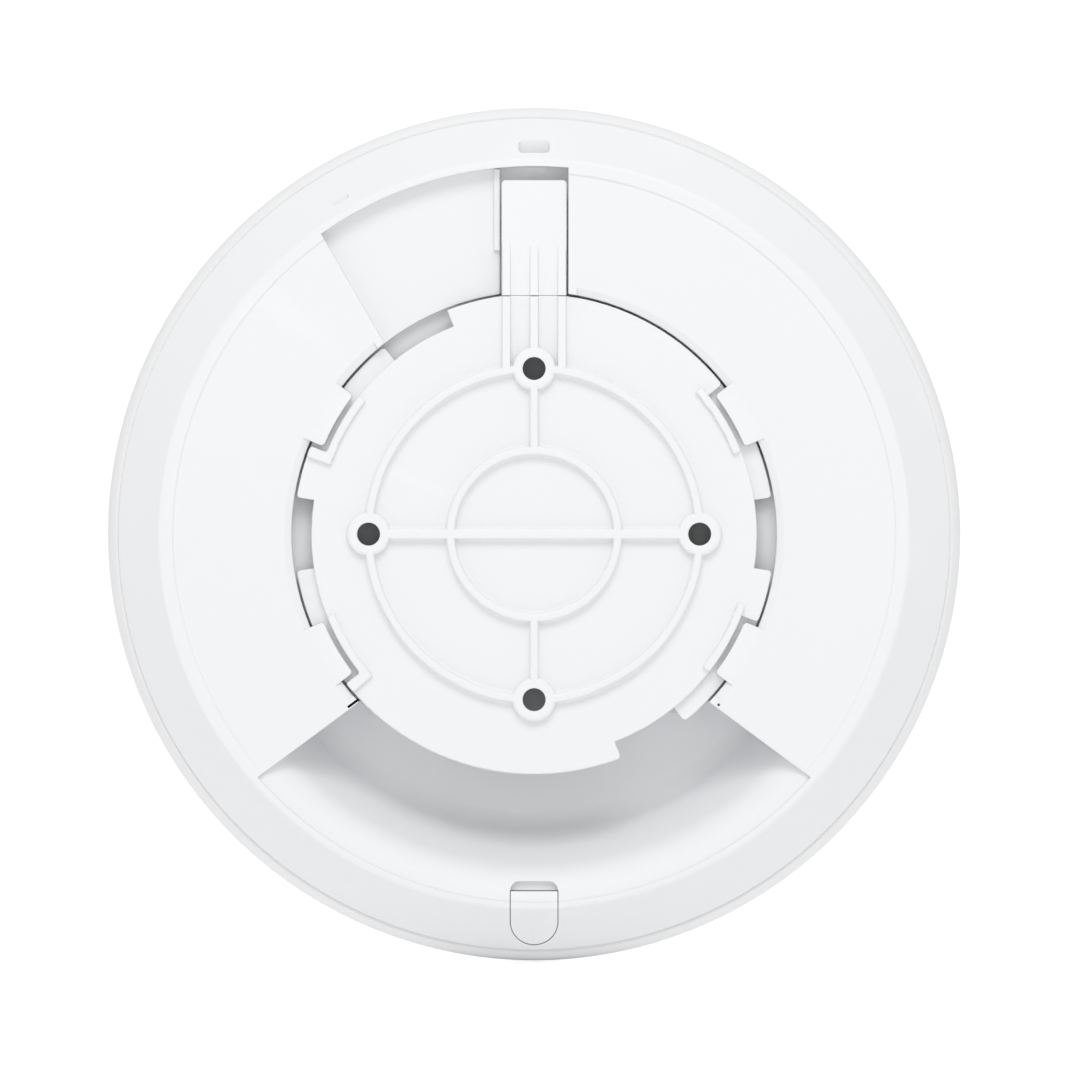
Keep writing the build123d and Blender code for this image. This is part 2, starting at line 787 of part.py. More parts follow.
with BuildPart() as ethernet_jack_shield:
    shield_w = jack_w + 2 * (shield_t + 0.05)
    shield_top = jack_mid_z + jack_h / 2 + 0.05 + shield_t
    with BuildSketch(Plane.XY.offset(board_top_z + 0.05)):
        with Locations((0, jack_y + 0.1)):
            Rectangle(shield_w, jack_len + 0.3, align=(Align.CENTER, Align.MIN))
    extrude(amount=shield_top - board_top_z - 0.05)
    with BuildSketch(Plane.XY.offset(board_top_z)):
        with Locations((0, jack_y)):
            Rectangle(jack_w + 0.1, jack_len + 0.05, align=(Align.CENTER, Align.MIN))
    extrude(amount=shield_top - board_top_z - shield_t, mode=Mode.SUBTRACT)
save(ethernet_jack_shield.part, "ethernet_jack_shield")

# Reset button behind its hole, and the side-acting switch that it presses
with BuildPart() as reset_button:
    with BuildSketch(Plane.XZ.offset(-recess_y - 0.4)):
        with Locations((reset_x, reset_z)):
            Circle(reset_r)
    extrude(amount=-2.0)
    with BuildSketch(Plane.XZ.offset(-recess_y - 2.4)):
        with Locations((reset_x, reset_z)):
            Circle(1.6)
    extrude(amount=-0.6)
save(reset_button.part, "reset_button")

with BuildPart() as reset_switch_body:
    with BuildSketch(Plane.XY.offset(board_top_z + 0.05)):
        with Locations((reset_x, recess_y + 3.8)):
            Rectangle(6.2, 3.6, align=(Align.CENTER, Align.MIN))
    extrude(amount=reset_z + 2.6 - board_top_z)
    with BuildSketch(Plane.XZ.offset(-recess_y - 3.9)):
        with Locations((reset_x, reset_z)):
            Circle(1.1)
    extrude(amount=0.3)
save(reset_switch_body.part, "reset_switch_body")


def blocks(base, places, size, height):
    """Equal blocks standing on a level, up for a positive height and down for a negative one."""
    with BuildPart() as group:
        with BuildSketch(Plane.XY.offset(base)):
            with Locations(*places):
                RectangleRounded(*size, radius=min(size) * 0.04)
        extrude(amount=height)
    return group.part


def shield_can(base, places, size, height):
    """Thin pressed lids, open towards the board."""
    inner = (size[0] - 0.6, size[1] - 0.6)
    with BuildPart() as can:
        with BuildSketch(Plane.XY.offset(base)):
            with Locations(*places):
                RectangleRounded(*size, radius=1.0)
        extrude(amount=height)
        with BuildSketch(Plane.XY.offset(base)):
            with Locations(*places):
                RectangleRounded(*inner, radius=0.7)
        extrude(amount=height + 0.3, mode=Mode.SUBTRACT)
    return can.part


# Parts on the room side of the board
radio_places = [(-39, 12), (39, 12)]
light_places = [polar((ring_in_r + ring_out_r) / 2, angle) for angle in (0, 90, 180, 270)]
save(shield_can(board_bottom_z, [(0, 14)], (36, 24), -2.8), "processor_shield_can")
save(shield_can(board_bottom_z, radio_places, (16, 18), -2.4), "radio_shield_cans")
save(blocks(board_bottom_z, [(-7, 14)], (15, 15), -1.2), "processor_chip")
save(blocks(board_bottom_z, [(9, 19), (9, 8.5)], (11, 8), -1.0), "memory_chips")
save(blocks(board_bottom_z, radio_places, (9, 9), -0.9), "radio_chips")
save(blocks(board_bottom_z, light_places, (2.0, 1.2), -0.8), "status_leds")

# Parts on the ceiling side of the board
save(blocks(board_top_z, [(-20, -12)], (13, 13), 9.0), "power_transformer")
save(blocks(board_top_z, [(18, -10)], (15, 11), 6.0), "lan_magnetics")
save(blocks(board_top_z, [(-36, -2)], (8, 8), 1.1), "power_controller_chip")
save(blocks(board_top_z, [(36, -12), (36, -3)], (7, 7), 4.0), "inductors")
save(blocks(board_top_z, [(-12, 20), (12, 20)], (15, 16), 1.5), "thermal_pads")

with BuildPart() as capacitors:
    with BuildSketch(Plane.XY.offset(board_top_z)):
        with Locations((-46, -10), (-46, -2), (-46, 6)):
            Circle(3.15)
    extrude(amount=8.5)
save(capacitors.part, "capacitors")

with BuildPart() as heat_spreader:
    spreader_z = board_top_z + 1.5
    with BuildSketch(Plane.XY.offset(spreader_z)):
        with Locations((0, 27)):
            RectangleRounded(62, 46, radius=5)
        with Locations((-case_post, case_post), (case_post, case_post)):
            Circle(post_r + 0.8, mode=Mode.SUBTRACT)
    extrude(amount=1.5)
    # Cooling fins stand towards the back cover.
    with BuildSketch(Plane.XY.offset(spreader_z + 1.5)):
        with Locations((0, 14)):
            with GridLocations(6, 1, 6, 1):
                Rectangle(1.2, 16)
        with Locations((0, 39)):
            with GridLocations(6, 1, 8, 1):
                Rectangle(1.2, 16)
    extrude(amount=7.0)
save(heat_spreader.part, "heat_spreader")

# Four stamped antennas stand on the room side, near the board's edge
antenna_r = 50.0
antenna_top = board_bottom_z - 3.6
for number, angle in enumerate((60, 120, 240, 300), start=1):
    with BuildPart() as antenna:
        with BuildSketch(Plane.XY.offset(antenna_top)):
            with Locations((antenna_r, 0)):
                Rectangle(7, 18)
            with Locations((antenna_r - 1.2, 3)):
                Rectangle(5, 1.2, mode=Mode.SUBTRACT)
        extrude(amount=0.4)
        # Feed and ground legs
        with BuildSketch(Plane.XY.offset(antenna_top)):
            with Locations((antenna_r - 3.3, -8), (antenna_r - 3.3, -3), (antenna_r - 3.3, 8)):
                Rectangle(0.4, 1.6)
        extrude(amount=board_bottom_z - antenna_top)
    save(antenna.part.rotate(Axis.Z, angle), f"antenna_{number}")
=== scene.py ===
import bpy
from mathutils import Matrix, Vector


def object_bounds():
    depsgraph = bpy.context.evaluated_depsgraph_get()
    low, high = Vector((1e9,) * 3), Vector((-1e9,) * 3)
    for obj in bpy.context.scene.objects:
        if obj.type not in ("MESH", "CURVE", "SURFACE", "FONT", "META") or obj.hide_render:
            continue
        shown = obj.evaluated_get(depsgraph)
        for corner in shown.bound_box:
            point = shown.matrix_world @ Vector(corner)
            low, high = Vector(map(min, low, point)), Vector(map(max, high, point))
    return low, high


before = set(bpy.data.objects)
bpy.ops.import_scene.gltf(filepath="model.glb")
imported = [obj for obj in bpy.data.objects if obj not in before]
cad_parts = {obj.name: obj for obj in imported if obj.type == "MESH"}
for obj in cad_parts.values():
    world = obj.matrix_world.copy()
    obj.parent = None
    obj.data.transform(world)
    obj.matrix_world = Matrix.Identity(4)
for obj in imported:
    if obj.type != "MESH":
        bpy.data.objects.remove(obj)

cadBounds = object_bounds()
print("frame loaded:", len(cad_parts), "nodes")


def link(tree, source, target):
    tree.links.new(source, target)


def newNode(tree, kind, place, **settings):
    node = tree.nodes.new(kind)
    node.location = place
    for name, value in settings.items():
        setattr(node, name, value)
    return node


def newGroup(name, floats, outputs):
    group = bpy.data.node_groups.new(name, "ShaderNodeTree")
    face = group.interface
    face.new_socket("Base Color", in_out="INPUT", socket_type="NodeSocketColor")
    for label, value in floats:
        socket = face.new_socket(label, in_out="INPUT", socket_type="NodeSocketFloat")
        socket.default_value = value
    for label, kind in outputs:
        face.new_socket(label, in_out="OUTPUT", socket_type="NodeSocket" + kind)
    enter = newNode(group, "NodeGroupInput", (-1000, 0))
    leave = newNode(group, "NodeGroupOutput", (800, 0))
    return group, enter, leave


def noise(tree, place, scale, detail, vector=None):
    node = newNode(tree, "ShaderNodeTexNoise", place)
    node.inputs["Scale"].default_value = scale
    node.inputs["Detail"].default_value = detail
    if vector is not None:
        link(tree, vector, node.inputs["Vector"])
    return node


def math1(tree, place, operation, first, second=None, third=None):
    node = newNode(tree, "ShaderNodeMath", place, operation=operation)
    for index, value in enumerate((first, second, third)):
        if value is None:
            continue
        if isinstance(value, (int, float)):
            node.inputs[index].default_value = value
        else:
            link(tree, value, node.inputs[index])
    return node.outputs[0]


# Moulded parts: a soft tone drift, uneven gloss, a fine spark-eroded grain and rounded edges
def mouldedSurfaceGroup():
    group, enter, leave = newGroup(
        "MouldedSurface",
        (
            ("Grain Scale", 1400.0),
            ("Grain Depth", 0.1),
            ("Tone Variation", 0.01),
            ("Base Roughness", 0.5),
            ("Roughness Variation", 0.05),
            ("Edge Radius", 0.0003),
            ("Edge Highlight And Wear", 0.0),
        ),
        (("Color", "Color"), ("Roughness", "Float"), ("Normal", "Vector")),
    )
    coords = newNode(group, "ShaderNodeTexCoord", (-1000, -300)).outputs["Object"]
    grain = noise(group, (-700, -260), 1400.0, 3.0, coords)
    link(group, enter.outputs["Grain Scale"], grain.inputs["Scale"])
    cloud = noise(group, (-700, 240), 24.0, 3.0, coords)
    streak = noise(group, (-700, 20), 160.0, 2.0, coords)

    drift = math1(group, (-480, 240), "SUBTRACT", cloud.outputs["Fac"], 0.5)
    tone = math1(group, (-260, 300), "MULTIPLY_ADD", drift, enter.outputs["Tone Variation"], 1.0)
    # Convex edges are lifted lighter in colour: a painted edge highlight, and on the dark parts edge wear as
    # well
    pointed = newNode(group, "ShaderNodeNewGeometry", (-1000, -560)).outputs["Pointiness"]
    convexEdgeMask = newNode(group, "ShaderNodeMapRange", (-700, -560))
    convexEdgeMask.inputs["From Min"].default_value = 0.53
    convexEdgeMask.inputs["From Max"].default_value = 0.62
    link(group, pointed, convexEdgeMask.inputs["Value"])
    edgeHighlightAndWearLift = math1(group, (-480, -560), "MULTIPLY", convexEdgeMask.outputs[0], enter.outputs["Edge Highlight And Wear"])
    lifted = math1(group, (-60, 300), "ADD", tone, edgeHighlightAndWearLift)
    tint = newNode(group, "ShaderNodeVectorMath", (140, 300), operation="SCALE")
    link(group, enter.outputs["Base Color"], tint.inputs[0])
    link(group, lifted, tint.inputs["Scale"])
    link(group, tint.outputs[0], leave.inputs["Color"])

    streaks = math1(group, (-480, -80), "SUBTRACT", streak.outputs["Fac"], 0.5)
    mixed = math1(group, (-480, 60), "ADD", drift, streaks)
    swing = enter.outputs["Roughness Variation"]
    gloss = math1(group, (-260, 60), "MULTIPLY_ADD", mixed, swing, enter.outputs["Base Roughness"])
    link(group, gloss, leave.inputs["Roughness"])

    rounded = newNode(group, "ShaderNodeBevel", (-260, -420), samples=8)
    link(group, enter.outputs["Edge Radius"], rounded.inputs["Radius"])
    bump = newNode(group, "ShaderNodeBump", (400, -200))
    bump.inputs["Distance"].default_value = 0.00002
    link(group, enter.outputs["Grain Depth"], bump.inputs["Strength"])
    link(group, grain.outputs["Fac"], bump.inputs["Height"])
    link(group, rounded.outputs["Normal"], bump.inputs["Normal"])
    link(group, bump.outputs["Normal"], leave.inputs["Normal"])
    return group


# Sheet and turned metal: rolling lines along one way, small scuffs and cloudy plating
def metalSurfaceGroup():
    group, enter, leave = newGroup(
        "MetalSurface",
        (
            ("Line Scale", 900.0),
            ("Line Depth", 0.15),
            ("Tone Variation", 0.08),
            ("Base Roughness", 0.3),
            ("Roughness Variation", 0.15),
            ("Edge Radius", 0.0002),
        ),
        (("Color", "Color"), ("Roughness", "Float"), ("Normal", "Vector")),
    )
    coords = newNode(group, "ShaderNodeTexCoord", (-1000, -300)).outputs["Object"]
    stretch = newNode(group, "ShaderNodeMapping", (-800, -300))
    stretch.inputs["Scale"].default_value = (0.04, 1.0, 1.0)
    link(group, coords, stretch.inputs["Vector"])
    lines = noise(group, (-580, -300), 900.0, 4.0, stretch.outputs[0])
    link(group, enter.outputs["Line Scale"], lines.inputs["Scale"])
    cloud = noise(group, (-580, 240), 140.0, 4.0, coords)
    scuff = newNode(group, "ShaderNodeTexVoronoi", (-580, 0), feature="DISTANCE_TO_EDGE")
    scuff.inputs["Scale"].default_value = 420.0
    link(group, coords, scuff.inputs["Vector"])

    drift = math1(group, (-360, 240), "SUBTRACT", cloud.outputs["Fac"], 0.5)
    tone = math1(group, (-160, 240), "MULTIPLY_ADD", drift, enter.outputs["Tone Variation"], 1.0)
    tint = newNode(group, "ShaderNodeVectorMath", (60, 240), operation="SCALE")
    link(group, enter.outputs["Base Color"], tint.inputs[0])
    link(group, tone, tint.inputs["Scale"])
    link(group, tint.outputs[0], leave.inputs["Color"])

    rub = math1(group, (-360, 0), "LESS_THAN", scuff.outputs["Distance"], 0.03)
    uneven = math1(group, (-160, 60), "MULTIPLY_ADD", rub, 0.35, drift)
    swing = enter.outputs["Roughness Variation"]
    gloss = math1(group, (60, 60), "MULTIPLY_ADD", uneven, swing, enter.outputs["Base Roughness"])
    link(group, gloss, leave.inputs["Roughness"])

    rounded = newNode(group, "ShaderNodeBevel", (-160, -460), samples=6)
    link(group, enter.outputs["Edge Radius"], rounded.inputs["Radius"])
    bump = newNode(group, "ShaderNodeBump", (400, -200))
    bump.inputs["Distance"].default_value = 0.00002
    link(group, enter.outputs["Line Depth"], bump.inputs["Strength"])
    link(group, lines.outputs["Fac"], bump.inputs["Height"])
    link(group, rounded.outputs["Normal"], bump.inputs["Normal"])
    link(group, bump.outputs["Normal"], leave.inputs["Normal"])
    return group


mouldedSurface = mouldedSurfaceGroup()
metalSurface = metalSurfaceGroup()
print("groups made")


def startMaterial(name, group):
    material = bpy.data.materials.new(name)
    material.use_nodes = True
    tree = material.node_tree
    shader = tree.nodes["Principled BSDF"]
    surface = newNode(tree, "ShaderNodeGroup", (-400, 0), node_tree=group)
    link(tree, surface.outputs["Color"], shader.inputs["Base Color"])
    link(tree, surface.outputs["Roughness"], shader.inputs["Roughness"])
    link(tree, surface.outputs["Normal"], shader.inputs["Normal"])
    return material, tree, shader, surface


def fill(surface, settings, names):
    surface.inputs["Base Color"].default_value = (*settings["color"], 1.0)
    for key, label in names:
        surface.inputs[label].default_value = settings[key]


mouldedNames = (
    ("grainScale", "Grain Scale"),
    ("grainDepth", "Grain Depth"),
    ("toneVariation", "Tone Variation"),
    ("roughness", "Base Roughness"),
    ("roughnessVariation", "Roughness Variation"),
    ("edgeRadius", "Edge Radius"),
    ("edgeHighlightAndWear", "Edge Highlight And Wear"),
)

metalNames = (
    ("lineScale", "Line Scale"),
    ("lineDepth", "Line Depth"),
    ("toneVariation", "Tone Variation"),
    ("roughness", "Base Roughness"),
    ("roughnessVariation", "Roughness Variation"),
    ("edgeRadius", "Edge Radius"),
)


def mouldedPlastic(name, settings):
    material, tree, shader, surface = startMaterial(name, mouldedSurface)
    fill(surface, settings, mouldedNames)
    shader.inputs["Specular IOR Level"].default_value = settings["specular"]
    shader.inputs["Coat Weight"].default_value = settings.get("coat", 0.0)
    shader.inputs["Subsurface Weight"].default_value = settings.get("subsurface", 0.0)
    shader.inputs["Subsurface Scale"].default_value = 0.0015
    return material


def metal(name, settings):
    material, tree, shader, surface = startMaterial(name, metalSurface)
    fill(surface, settings, metalNames)
    shader.inputs["Metallic"].default_value = 1.0
    return material


def dress(material, *names):
    for name in names:
        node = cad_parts[name]
        node.data.materials.clear()
        node.data.materials.append(material)


# Cover and door: satin white with a fine grain
coverPlastic = {
    "color": (0.845, 0.85, 0.862),
    "grainScale": 1500.0,
    "grainDepth": 0.12,
    "toneVariation": 0.012,
    "roughness": 0.48,
    "roughnessVariation": 0.08,
    "edgeRadius": 0.0003,
    "edgeHighlightAndWear": 0.02,
    "specular": 0.35,
}
dress(mouldedPlastic("CoverPlastic", coverPlastic), "back_cover", "cable_door")

# Bracket and tongue: the same white, a little smoother
bracketPlastic = dict(
    coverPlastic,
    color=(0.85, 0.855, 0.87),
    grainDepth=0.08,
    roughness=0.44,
    edgeRadius=0.00025,
)
dress(mouldedPlastic("BracketPlastic", bracketPlastic), "mounting_bracket", "lock_tongue")

# Front dome: smooth, slightly glossier
domePlastic = dict(
    coverPlastic,
    color=(0.85, 0.853, 0.86),
    grainScale=700.0,
    grainDepth=0.03,
    roughness=0.36,
    roughnessVariation=0.06,
    coat=0.06,
)
dress(mouldedPlastic("DomePlastic", domePlastic), "front_dome")

buttonPlastic = dict(coverPlastic, color=(0.34, 0.345, 0.35), grainDepth=0.2, roughness=0.5)
dress(mouldedPlastic("ButtonPlastic", buttonPlastic), "reset_button")

# Rating label: a dark grey film seen through the screw holes, painted shade that makes the deep holes read
# dark
holeShadeLabel = dict(
    coverPlastic,
    color=(0.30, 0.31, 0.31),
    grainScale=2400.0,
    grainDepth=0.1,
    toneVariation=0.03,
    roughness=0.5,
    edgeRadius=0.00008,
    edgeHighlightAndWear=0.0,
    specular=0.4,
)
dress(mouldedPlastic("PaintedHoleShadeFilm", holeShadeLabel), "rating_label")

jackPlastic = dict(
    holeShadeLabel,
    color=(0.018, 0.018, 0.019),
    grainScale=1800.0,
    toneVariation=0.25,
    roughness=0.38,
    roughnessVariation=0.2,
    edgeRadius=0.00015,
    edgeHighlightAndWear=0.6,
    specular=0.5,
)
dress(mouldedPlastic("JackPlastic", jackPlastic), "ethernet_jack_housing", "reset_switch_body")

chipResin = dict(jackPlastic, color=(0.022, 0.022, 0.025), grainScale=3200.0, grainDepth=0.35, roughness=0.55)
dress(
    mouldedPlastic("ChipResin", chipResin),
    "processor_chip",
    "memory_chips",
    "radio_chips",
    "power_controller_chip",
    "lan_magnetics",
    "inductors",
)

gasketRubber = dict(
    jackPlastic,
    color=(0.03, 0.03, 0.03),
    grainScale=2600.0,
    grainDepth=0.9,
    roughness=0.85,
    edgeHighlightAndWear=0.1,
    specular=0.2,
)
dress(mouldedPlastic("GasketRubber", gasketRubber), "port_gasket")

thermalSilicone = dict(
    gasketRubber,
    color=(0.24, 0.33, 0.42),
    grainScale=1200.0,
    grainDepth=0.5,
    toneVariation=0.2,
    roughness=0.7,
    subsurface=0.1,
)
dress(mouldedPlastic("ThermalSilicone", thermalSilicone), "thermal_pads")

ledResin = dict(
    coverPlastic,
    color=(0.82, 0.80, 0.62),
    grainDepth=0.02,
    toneVariation=0.08,
    roughness=0.18,
    edgeRadius=0.0001,
    specular=0.5,
    coat=0.5,
)
dress(mouldedPlastic("LedResin", ledResin), "status_leds")

steelPlate = {
    "color": (0.62, 0.63, 0.65),
    "lineScale": 900.0,
    "lineDepth": 0.2,
    "toneVariation": 0.12,
    "roughness": 0.32,
    "roughnessVariation": 0.18,
    "edgeRadius": 0.00015,
}
dress(metal("ScrewSteel", steelPlate), "board_screws", "case_screws")

tinPlate = dict(steelPlate, color=(0.70, 0.69, 0.66), lineScale=650.0, roughness=0.38, toneVariation=0.16)
dress(
    metal("TinnedSteel", tinPlate),
    "ethernet_jack_shield",
    "processor_shield_can",
    "radio_shield_cans",
    "antenna_1",
    "antenna_2",
    "antenna_3",
    "antenna_4",
)

contactGold = dict(steelPlate, color=(0.83, 0.61, 0.24), lineScale=1500.0, roughness=0.2, edgeRadius=0.00006)
dress(metal("ContactGold", contactGold), "ethernet_jack_contacts")

stampedAluminium = dict(steelPlate, color=(0.77, 0.78, 0.79), lineScale=420.0, lineDepth=0.45, roughness=0.42)
dress(metal("StampedAluminium", stampedAluminium), "heat_spreader")


# Frosted light ring: milky plastic whose body is a touch denser toward its edges
diffuser = {
    "color": (0.88, 0.90, 0.92),
    "grainScale": 2200.0,
    "grainDepth": 0.25,
    "toneVariation": 0.02,
    "roughness": 0.55,
    "roughnessVariation": 0.1,
    "edgeRadius": 0.00015,
    "edgeHighlightAndWear": 0.0,
    "specular": 0.4,
    "transmission": 0.25,
    "subsurface": 0.4,
}


def diffuserMaterial(settings):
    material, tree, shader, surface = startMaterial("LightDiffuser", mouldedSurface)
    fill(surface, settings, mouldedNames)
    rim = newNode(tree, "ShaderNodeLayerWeight", (-700, 300))
    rim.inputs["Blend"].default_value = 0.35
    dense = newNode(tree, "ShaderNodeMix", (-150, 300), data_type="RGBA", blend_type="MULTIPLY")
    dense.inputs["B"].default_value = (0.86, 0.88, 0.90, 1.0)
    link(tree, rim.outputs["Facing"], dense.inputs["Factor"])
    link(tree, surface.outputs["Color"], dense.inputs["A"])
    link(tree, dense.outputs["Result"], shader.inputs["Base Color"])
    shader.inputs["Specular IOR Level"].default_value = settings["specular"]
    shader.inputs["Transmission Weight"].default_value = settings["transmission"]
    shader.inputs["Subsurface Weight"].default_value = settings["subsurface"]
    shader.inputs["Subsurface Scale"].default_value = 0.002
    return material


dress(diffuserMaterial(diffuser), "led_ring_diffuser")

# Circuit board: solder mask over copper runs, plated dots and bare laminate at its edge
board = {
    "mask": (0.012, 0.085, 0.04),
    "copperUnderMask": (0.02, 0.16, 0.07),
    "pad": (0.72, 0.66, 0.45),
    "laminate": (0.36, 0.33, 0.17),
    "runScale": 210.0,
    "padScale": 330.0,
    "roughness": 0.34,
}


def boardMaterial(settings):
    material = bpy.data.materials.new("CircuitBoard")
    material.use_nodes = True
    tree = material.node_tree
    shader = tree.nodes["Principled BSDF"]
    coords = newNode(tree, "ShaderNodeTexCoord", (-1400, 0)).outputs["Object"]
    runs = newNode(tree, "ShaderNodeTexVoronoi", (-1150, 200), feature="F1", distance="CHEBYCHEV")
    runs.inputs["Scale"].default_value = settings["runScale"]
    link(tree, coords, runs.inputs["Vector"])
    spread = math1(tree, (-950, 200), "MULTIPLY", runs.outputs["Distance"], 9.0)
    wave = math1(tree, (-780, 200), "PINGPONG", spread, 1.0)
    copper = math1(tree, (-600, 200), "GREATER_THAN", wave, 0.62)
    dots = newNode(tree, "ShaderNodeTexVoronoi", (-1150, -100))
    dots.inputs["Scale"].default_value = settings["padScale"]
    link(tree, coords, dots.inputs["Vector"])
    padMask = math1(tree, (-950, -100), "LESS_THAN", dots.outputs["Distance"], 0.16)
    normal = newNode(tree, "ShaderNodeNewGeometry", (-1400, -400))
    split = newNode(tree, "ShaderNodeSeparateXYZ", (-1150, -400))
    link(tree, normal.outputs["Normal"], split.inputs[0])
    tilt = math1(tree, (-1050, -460), "ABSOLUTE", split.outputs["Z"])
    upright = math1(tree, (-950, -400), "LESS_THAN", tilt, 0.5)

    def blend(place, factor, first, second):
        mix = newNode(tree, "ShaderNodeMix", place, data_type="RGBA")
        link(tree, factor, mix.inputs["Factor"])
        if isinstance(first, tuple):
            mix.inputs["A"].default_value = (*first, 1.0)
        else:
            link(tree, first, mix.inputs["A"])
        mix.inputs["B"].default_value = (*second, 1.0)
        return mix.outputs["Result"]

    green = blend((-400, 200), copper, settings["mask"], settings["copperUnderMask"])
    dotted = blend((-220, 100), padMask, green, settings["pad"])
    edged = blend((-40, 0), upright, dotted, settings["laminate"])
    link(tree, edged, shader.inputs["Base Color"])
    level = math1(tree, (-400, -250), "SUBTRACT", 1.0, upright)
    metalMask = math1(tree, (-220, -150), "MULTIPLY", padMask, level)
    link(tree, metalMask, shader.inputs["Metallic"])
    haze = noise(tree, (-600, -500), 90.0, 3.0, coords)
    gloss = math1(tree, (-220, -450), "MULTIPLY_ADD", haze.outputs["Fac"], 0.18, settings["roughness"])
    link(tree, gloss, shader.inputs["Roughness"])
    bump = newNode(tree, "ShaderNodeBump", (-40, -600))
    bump.inputs["Distance"].default_value = 0.00003
    bump.inputs["Strength"].default_value = 0.6
    link(tree, copper, bump.inputs["Height"])
    link(tree, bump.outputs["Normal"], shader.inputs["Normal"])
    return material


dress(boardMaterial(board), "main_board")

# Transformer: yellow tape turns between dark ferrite caps
transformer = {"tape": (0.66, 0.46, 0.05), "ferrite": (0.045, 0.045, 0.05), "turnScale": 260.0}


def transformerMaterial(settings):
    material = bpy.data.materials.new("TransformerTape")
    material.use_nodes = True
    tree = material.node_tree
    shader = tree.nodes["Principled BSDF"]
    coords = newNode(tree, "ShaderNodeTexCoord", (-1100, 0))
    turns = newNode(tree, "ShaderNodeTexWave", (-800, -200), wave_type="BANDS", bands_direction="Z")
    turns.inputs["Scale"].default_value = settings["turnScale"]
    turns.inputs["Distortion"].default_value = 0.6
    link(tree, coords.outputs["Object"], turns.inputs["Vector"])
    place = newNode(tree, "ShaderNodeSeparateXYZ", (-800, 200))
    link(tree, coords.outputs["Generated"], place.inputs[0])
    height = math1(tree, (-700, 260), "SUBTRACT", place.outputs["Z"], 0.5)
    middle = math1(tree, (-600, 200), "ABSOLUTE", height)
    caps = math1(tree, (-420, 200), "GREATER_THAN", middle, 0.3)
    mix = newNode(tree, "ShaderNodeMix", (-200, 200), data_type="RGBA")
    mix.inputs["A"].default_value = (*settings["tape"], 1.0)
    mix.inputs["B"].default_value = (*settings["ferrite"], 1.0)
    link(tree, caps, mix.inputs["Factor"])
    link(tree, mix.outputs["Result"], shader.inputs["Base Color"])
    gloss = math1(tree, (-200, 0), "MULTIPLY_ADD", turns.outputs["Fac"], 0.15, 0.32)
    link(tree, gloss, shader.inputs["Roughness"])
    bump = newNode(tree, "ShaderNodeBump", (-200, -300))
    bump.inputs["Distance"].default_value = 0.00005
    bump.inputs["Strength"].default_value = 0.5
    link(tree, turns.outputs["Fac"], bump.inputs["Height"])
    link(tree, bump.outputs["Normal"], shader.inputs["Normal"])
    return material


dress(transformerMaterial(transformer), "power_transformer")

# Capacitors: bare cans with a dark polarity mark down one side
can = {"metal": (0.72, 0.73, 0.75), "mark": (0.03, 0.03, 0.035), "roughness": 0.28}


def canMaterial(settings):
    material, tree, shader, surface = startMaterial("CapacitorCan", metalSurface)
    fill(surface, dict(steelPlate, color=settings["metal"], roughness=settings["roughness"]), metalNames)
    shader.inputs["Metallic"].default_value = 1.0
    coords = newNode(tree, "ShaderNodeTexCoord", (-1100, 300)).outputs["Object"]
    cloud = noise(tree, (-900, 300), 300.0, 2.0, coords)
    facing = newNode(tree, "ShaderNodeNewGeometry", (-1100, 520))
    split = newNode(tree, "ShaderNodeSeparateXYZ", (-900, 520))
    link(tree, facing.outputs["Normal"], split.inputs[0])
    down = math1(tree, (-700, 520), "LESS_THAN", split.outputs["X"], -0.6)
    printed = math1(tree, (-700, 340), "GREATER_THAN", cloud.outputs["Fac"], 0.3)
    mark = math1(tree, (-500, 420), "MULTIPLY", down, printed)
    mix = newNode(tree, "ShaderNodeMix", (-150, 300), data_type="RGBA")
    mix.inputs["B"].default_value = (*settings["mark"], 1.0)
    link(tree, mark, mix.inputs["Factor"])
    link(tree, surface.outputs["Color"], mix.inputs["A"])
    link(tree, mix.outputs["Result"], shader.inputs["Base Color"])
    return material


dress(canMaterial(can), "capacitors")
print("materials set")

# Floor: a pale sheet under the standing edge, seen only from above
floorSettings = {
    "size": 60.0,
    "gap": 0.0001,
    "color": (0.93, 0.93, 0.93),
    "lift": 0.17,
    "seenLift": 0.17,
    "roughness": 0.14,
}


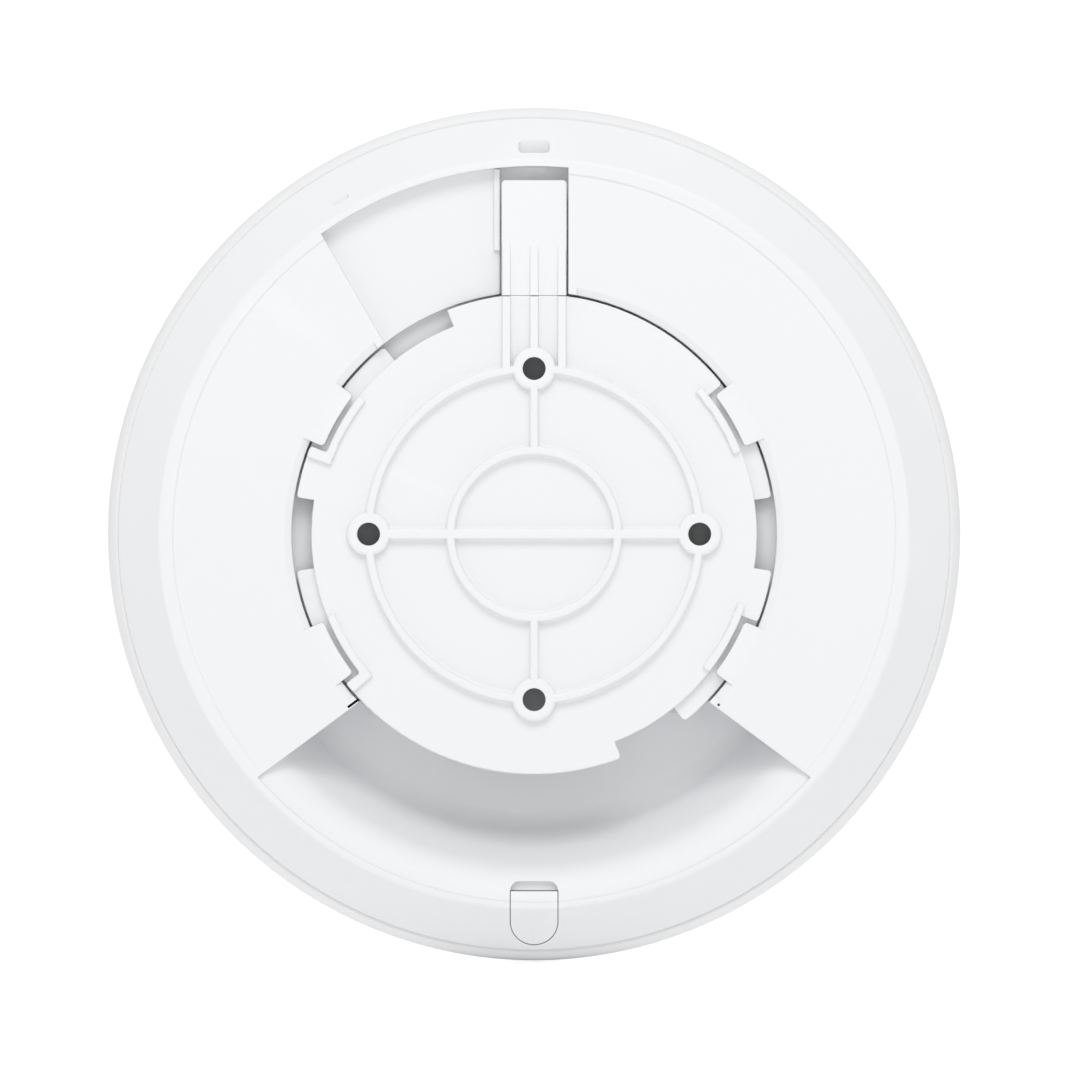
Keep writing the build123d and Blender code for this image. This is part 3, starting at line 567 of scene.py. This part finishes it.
def makeFloor():
    half = floorSettings["size"] / 2
    y = cadBounds[0][1] - floorSettings["gap"]
    mesh = bpy.data.meshes.new("floor")
    corners = [(-half, y, -half), (-half, y, half), (half, y, half), (half, y, -half)]
    mesh.from_pydata(corners, [], [(0, 1, 2, 3)])
    floor = bpy.data.objects.new("floor", mesh)
    bpy.context.scene.collection.objects.link(floor)
    material = bpy.data.materials.new("FloorPaper")
    material.use_nodes = True
    tree = material.node_tree
    shader = tree.nodes["Principled BSDF"]
    coords = newNode(tree, "ShaderNodeTexCoord", (-700, 100)).outputs["Object"]
    fibre = noise(tree, (-500, 100), 900.0, 4.0, coords)
    tone = newNode(tree, "ShaderNodeVectorMath", (-150, 100), operation="SCALE")
    tone.inputs[0].default_value = floorSettings["color"]
    shade = math1(tree, (-300, 0), "MULTIPLY_ADD", fibre.outputs["Fac"], 0.01, 0.995)
    link(tree, shade, tone.inputs["Scale"])
    link(tree, tone.outputs[0], shader.inputs["Base Color"])
    shader.inputs["Roughness"].default_value = floorSettings["roughness"]
    shader.inputs["Emission Color"].default_value = (1.0, 1.0, 1.0, 1.0)
    seen = newNode(tree, "ShaderNodeLightPath", (-500, -300)).outputs["Is Camera Ray"]
    lift = math1(tree, (-300, -300), "MULTIPLY_ADD", seen, floorSettings["seenLift"], floorSettings["lift"])
    link(tree, lift, shader.inputs["Emission Strength"])
    clear = newNode(tree, "ShaderNodeBsdfTransparent", (0, -300))
    facing = newNode(tree, "ShaderNodeNewGeometry", (-200, 300))
    blend = newNode(tree, "ShaderNodeMixShader", (300, 0))
    link(tree, facing.outputs["Backfacing"], blend.inputs[0])
    link(tree, shader.outputs[0], blend.inputs[1])
    link(tree, clear.outputs[0], blend.inputs[2])
    link(tree, blend.outputs[0], tree.nodes["Material Output"].inputs["Surface"])
    mesh.materials.append(material)


makeFloor()

# Light: an even white room, seen as pure white, and one broad soft light from above
lightSettings = {
    "room": 0.765,
    "backdrop": 1.05,
    "keyPower": 11.3,
    "keySize": (1.2, 0.8),
    "keyPlace": (0.0, 1.3, 1.35),
}

world = bpy.data.worlds.new("studio")
bpy.context.scene.world = world
world.use_nodes = True
sky = world.node_tree
room = sky.nodes["Background"]
room.inputs["Color"].default_value = (1.0, 1.0, 1.0, 1.0)
room.inputs["Strength"].default_value = lightSettings["room"]
backdrop = newNode(sky, "ShaderNodeBackground", (0, -200))
backdrop.inputs["Strength"].default_value = lightSettings["backdrop"]
rays = newNode(sky, "ShaderNodeLightPath", (-200, 300))
choose = newNode(sky, "ShaderNodeMixShader", (250, 100))
link(sky, rays.outputs["Is Camera Ray"], choose.inputs[0])
link(sky, room.outputs[0], choose.inputs[1])
link(sky, backdrop.outputs[0], choose.inputs[2])
link(sky, choose.outputs[0], sky.nodes["World Output"].inputs["Surface"])
backdrop.inputs["Color"].default_value = (1.0, 1.0, 1.0, 1.0)


def softbox(name, place, target, size, power):
    lamp = bpy.data.lights.new(name, "AREA")
    lamp.shape = "RECTANGLE"
    lamp.size, lamp.size_y = size
    lamp.energy = power
    holder = bpy.data.objects.new(name, lamp)
    holder.location = place
    holder.rotation_euler = (Vector(target) - Vector(place)).to_track_quat("-Z", "Y").to_euler()
    bpy.context.scene.collection.objects.link(holder)


softbox("keyAbove", lightSettings["keyPlace"], (0, 0, 0), lightSettings["keySize"], lightSettings["keyPower"])

# Camera: straight on to the back, the object a little off centre in the frame
cameraSettings = {"distance": 2.4, "sensor": 36.0, "frameWidth": 0.2015, "shift": (0.0011, -0.0011)}
low, high = cadBounds
centre = Vector(((low[0] + high[0]) / 2, (low[1] + high[1]) / 2, high[2]))
camera = bpy.data.objects.new("camera", bpy.data.cameras.new("camera"))
camera.data.sensor_width = cameraSettings["sensor"]
camera.data.lens = cameraSettings["sensor"] * cameraSettings["distance"] / cameraSettings["frameWidth"]
camera.location = centre + Vector((*cameraSettings["shift"], cameraSettings["distance"]))
camera.data.clip_end = 100
bpy.context.scene.collection.objects.link(camera)
bpy.context.scene.camera = camera
bpy.context.scene.view_settings.view_transform = "Standard"

print("done")
